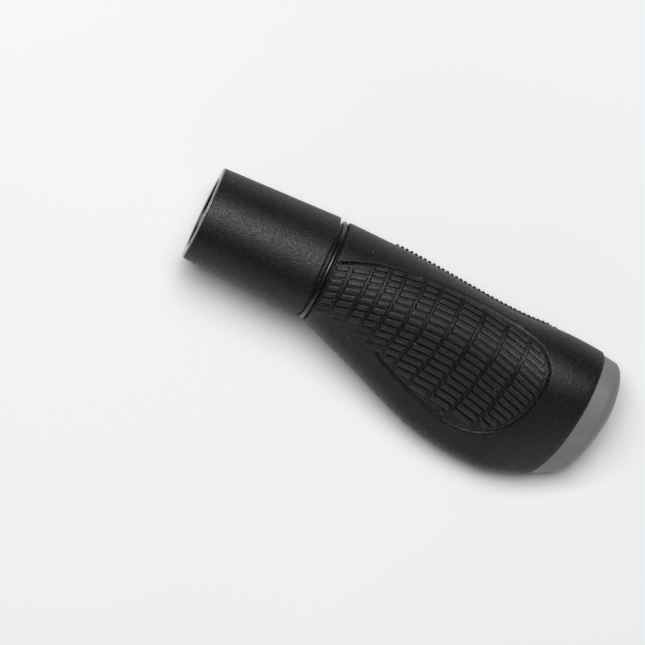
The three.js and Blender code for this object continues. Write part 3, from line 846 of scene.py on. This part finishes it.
def specks(tree, scale, share, solid, gone):
    """A mask of specks in the middles of a share of the cells, which fade from solid to gone."""
    coordinates = tree.nodes.new("ShaderNodeTexCoord")
    cells = tree.nodes.new("ShaderNodeTexVoronoi")
    cells.inputs["Scale"].default_value = scale
    tree.links.new(coordinates.outputs["Object"], cells.inputs["Vector"])
    split = tree.nodes.new("ShaderNodeSeparateColor")
    tree.links.new(cells.outputs["Color"], split.inputs["Color"])
    pick = tree.nodes.new("ShaderNodeMath")
    pick.operation = "GREATER_THAN"
    pick.inputs[1].default_value = 1 - share
    tree.links.new(split.outputs["Red"], pick.inputs[0])
    amount = tree.nodes.new("ShaderNodeMath")
    amount.operation = "MULTIPLY"
    fall = ramp(tree, cells.outputs["Distance"], greys(1, 0), places=(solid, gone))
    tree.links.new(fall, amount.inputs[0])
    tree.links.new(pick.outputs[0], amount.inputs[1])
    return amount.outputs[0]


def rubber_material():
    """Matt black rubber: fine grain, a patchy sheen, a painted highlight on the palm bars' tops and
    light specks of dust.
    """
    material, tree, shader = new_material("black_rubber")
    shade = ramp(tree, noise(tree, scale=90, detail=3), RUBBER_SHADES)
    fleck_noise = noise(tree, scale=2400, detail=3, roughness=0.7)
    flecked = ramp(tree, fleck_noise, greys(0, 1), places=(0.54, 0.7))
    shade = mixed(tree, flecked, shade, RUBBER_FLECK)
    # Painted highlight: where the palm bars stand highest, their tops get a lighter colour
    relief = tree.nodes.new("ShaderNodeAttribute")
    relief.attribute_name = "relief"
    bar_top_highlight = ramp(tree, relief.outputs["Fac"], greys(0, 1), places=(0.6, 1.0))
    bar_top_highlight_noise = noise(tree, scale=1500, detail=3, roughness=0.7)
    shade = mixed(tree, bar_top_highlight, shade, ramp(tree, bar_top_highlight_noise, BAR_TOP_HIGHLIGHT_SHADES, places=(0.35, 0.65)))
    shade = mixed(tree, specks(tree, scale=420, share=0.08, solid=0.08, gone=0.14), shade, DUST)
    tree.links.new(shade, shader.inputs["Base Color"])
    sheen = ramp(tree, noise(tree, scale=1300, detail=2), greys(0.37, 0.59))
    tree.links.new(sheen, shader.inputs["Roughness"])
    shader.inputs["Specular IOR Level"].default_value = RUBBER_SPECULAR
    grain = bump(tree, noise(tree, scale=1800, detail=2), strength=0.7, distance=0.00016)
    normal = bump(tree, noise(tree, scale=420, detail=2), strength=0.2, distance=0.0002, below=grain)
    tree.links.new(normal, shader.inputs["Normal"])
    return material


def gloss_and_painted_shade_material():
    """The smoother, shinier black of the bead, and painted shade: the same black on the grey core in
    the recess just inside the mouth.
    """
    material, tree, shader = new_material("gloss_rubber_and_painted_shade")
    shade = ramp(tree, noise(tree, scale=120, detail=2), greys(0.006, 0.011))
    tree.links.new(shade, shader.inputs["Base Color"])
    sheen = ramp(tree, noise(tree, scale=260, detail=2), greys(0.2, 0.3))
    tree.links.new(sheen, shader.inputs["Roughness"])
    normal = bump(tree, noise(tree, scale=700, detail=2), strength=0.15, distance=0.0001)
    tree.links.new(normal, shader.inputs["Normal"])
    return material


def core_material(name, smooth, rough):
    """Mid-grey plastic with a faint moulded grain, between two roughnesses."""
    material, tree, shader = new_material(name)
    shade = ramp(tree, noise(tree, scale=70, detail=3), PLASTIC_SHADES)
    shade = mixed(tree, specks(tree, scale=500, share=0.1, solid=0.1, gone=0.2), shade, PLASTIC_FLECK)
    tree.links.new(shade, shader.inputs["Base Color"])
    sheen = ramp(tree, noise(tree, scale=300, detail=2), greys(smooth, rough))
    tree.links.new(sheen, shader.inputs["Roughness"])
    normal = bump(tree, noise(tree, scale=1500, detail=3), strength=0.3, distance=0.0001)
    tree.links.new(normal, shader.inputs["Normal"])
    return material


def floor_material():
    material, tree, shader = new_material("pale_table")
    shade = ramp(tree, noise(tree, scale=6, detail=2), greys(0.83, 0.85))
    tree.links.new(shade, shader.inputs["Base Color"])
    shader.inputs["Roughness"].default_value = FLOOR_ROUGHNESS
    return material


# How far outside the mouth's wall the faces of the painted shade band may lie
BAND_MARGIN = 0.3


def rubber_choice(middle):
    """Which material a face of the rubber has: gloss on the bead."""
    start = BORE_MOUTH.x + BEAD_START * MM
    return 1 if start < middle.x < start + BEAD_WIDTH * MM else 0


def core_choice(middle):
    """Which material a face of the core has: painted shade as a black band in the recess inside the
    mouth, and a polished rim.
    """
    away = math.hypot(middle.y - BORE_MOUTH.y, middle.z - BORE_MOUTH.z)
    band_radius = (BORE_RADIUS + MOUTH_RELIEF + BAND_MARGIN) * MM
    band_start, band_end = (BORE_MOUTH.x + place * MM for place in (MOUTH_CHAMFER, MOUTH_RELIEF_DEPTH))
    # Painted shade: the grey core in the mouth's recess gets the bead's black
    if away < band_radius and band_start < middle.x < band_end:
        return 1
    return 2 if middle.x < BORE_MOUTH.x + RIM_THICKNESS * MM else 0


def add_materials(obj, materials, choice):
    """Puts the materials on an object, and on each face the one that choice names for its middle."""
    for material in materials:
        obj.data.materials.append(material)
    for face in obj.data.polygons:
        face.material_index = choice(face.center)


# Camera: above the grip's outer half, leaning towards the mouth and the wing

CAMERA_DISTANCE = 0.9
CAMERA_LEAN = 5.5
CAMERA_SIDE = 2.0
FIELD_OF_VIEW = 12.6
BORE_SLANT = 25.3

# The place it looks at, in millimetres: along the bore, out to u and up
AIM = (47.75, 14.8, 0)


def add_camera():
    """Adds the camera. Returns what it looks at, the picture's upward way and the way to the camera."""
    aim = Vector(placed(*AIM))
    lean, side = math.radians(CAMERA_LEAN), math.radians(CAMERA_SIDE)
    away = Vector((-math.sin(lean), -math.sin(side), math.cos(lean) * math.cos(side))).normalized()
    slant = math.radians(BORE_SLANT)
    up = Vector((-math.sin(slant), math.cos(slant), 0))
    right = up.cross(away).normalized()
    up = away.cross(right)
    data = bpy.data.cameras.new("camera")
    data.angle = math.radians(FIELD_OF_VIEW)
    camera = add_object("camera", data)
    turned = Matrix((right, up, away)).transposed().to_4x4()
    camera.matrix_world = Matrix.Translation(aim + away * CAMERA_DISTANCE) @ turned
    bpy.context.scene.camera = camera
    return aim, up, away


# Light: a large softbox overhead, towards the picture's top, a low panel at its foot and a dim room

SOFTBOX = {"distance": 2.0, "size": (1.5, 1.2), "watts": 47}
SOFTBOX_LEAN = 18
PANEL = {"distance": 1.0, "size": (1.6, 0.25), "watts": 1.8}
PANEL_RISE = 8
ROOM_COLOUR = (1, 1, 1, 1)
ROOM_STRENGTH = 0.06


def add_light(name, aim, direction, lamp):
    data = bpy.data.lights.new(name, "AREA")
    data.shape = "RECTANGLE"
    data.size, data.size_y = lamp["size"]
    data.energy = lamp["watts"]
    light = add_object(name, data)
    light.location = aim + direction.normalized() * lamp["distance"]
    light.rotation_euler = direction.to_track_quat("Z", "Y").to_euler()


def add_lights(aim, image_up, towards_camera):
    lean = math.radians(SOFTBOX_LEAN)
    add_light("softbox", aim, towards_camera * math.cos(lean) + image_up * math.sin(lean), SOFTBOX)
    rise = math.radians(PANEL_RISE)
    add_light("panel", aim, towards_camera * math.sin(rise) - image_up * math.cos(rise), PANEL)


def add_room():
    world = bpy.data.worlds.new("room")
    world.use_nodes = True
    background = world.node_tree.nodes["Background"]
    background.inputs["Color"].default_value = ROOM_COLOUR
    background.inputs["Strength"].default_value = ROOM_STRENGTH
    bpy.context.scene.world = world
    bpy.context.scene.view_settings.view_transform = "Standard"


FLOOR_HALF = 1.5


def floor_piece():
    mesh = bpy.data.meshes.new("floor")
    corners = [(x * FLOOR_HALF, y * FLOOR_HALF, 0) for x, y in ((-1, -1), (1, -1), (1, 1), (-1, 1))]
    mesh.from_pydata(corners, [], [(0, 1, 2, 3)])
    mesh.materials.append(floor_material())
    return add_object("floor", mesh)


# The bead's glossy black, also used on the core as painted shade in the mouth's recess
gloss_and_painted_shade = gloss_and_painted_shade_material()

rubber = rubber_piece()
add_materials(rubber, [rubber_material(), gloss_and_painted_shade], rubber_choice)
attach(rubber, "root")
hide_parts("rubber_grip")

core = core_piece()
cap_plastic = core_material("grey_plastic", smooth=0.42, rough=0.52)
rim_plastic = core_material("rim_plastic", smooth=0.12, rough=0.2)
add_materials(core, [cap_plastic, gloss_and_painted_shade, rim_plastic], core_choice)
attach(core, "root")
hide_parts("core")

floor = floor_piece()

aim, image_up, towards_camera = add_camera()
add_lights(aim, image_up, towards_camera)
add_room()
